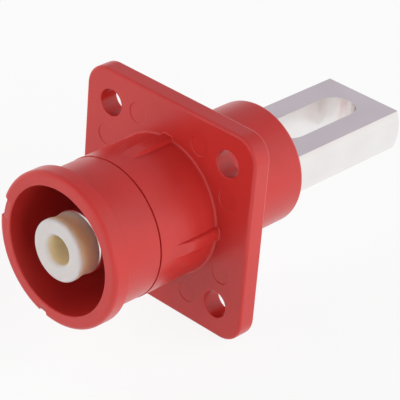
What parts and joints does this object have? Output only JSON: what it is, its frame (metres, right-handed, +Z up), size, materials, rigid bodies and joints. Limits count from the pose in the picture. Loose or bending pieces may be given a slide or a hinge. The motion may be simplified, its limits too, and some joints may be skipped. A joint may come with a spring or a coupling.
{
  "type": "panel mount high current power connector",
  "caption": "Square-flanged single-pole power connector: red housing with a round shrouded pin in front and a flat slotted contact bar behind the panel.",
  "frame": {"origin": "centre of the flange's rear face, the face that lies on the panel", "axes": "+Y along the mating axis, from the mouth towards the contact bar; +X to the right seen from the mouth; +Z up"},
  "size_m": [0.036, 0.0709, 0.036],
  "materials": {
    "red_plastic": "moulded, satin",
    "silver_plate": "silver plated copper, satin",
    "ivory_plastic": "moulded, satin",
    "spring_steel": "plain",
    "rubber": "matte"
  },
  "bodies": {
    "root": {"flange_housing": "red_plastic", "front_shell": "red_plastic", "contact_bar": "silver_plate", "contact_tip": "ivory_plastic", "contact_washer": "spring_steel", "contact_clip": "spring_steel", "contact_seal": "rubber", "panel_seal": "rubber"}
  },
  "joints": []
}
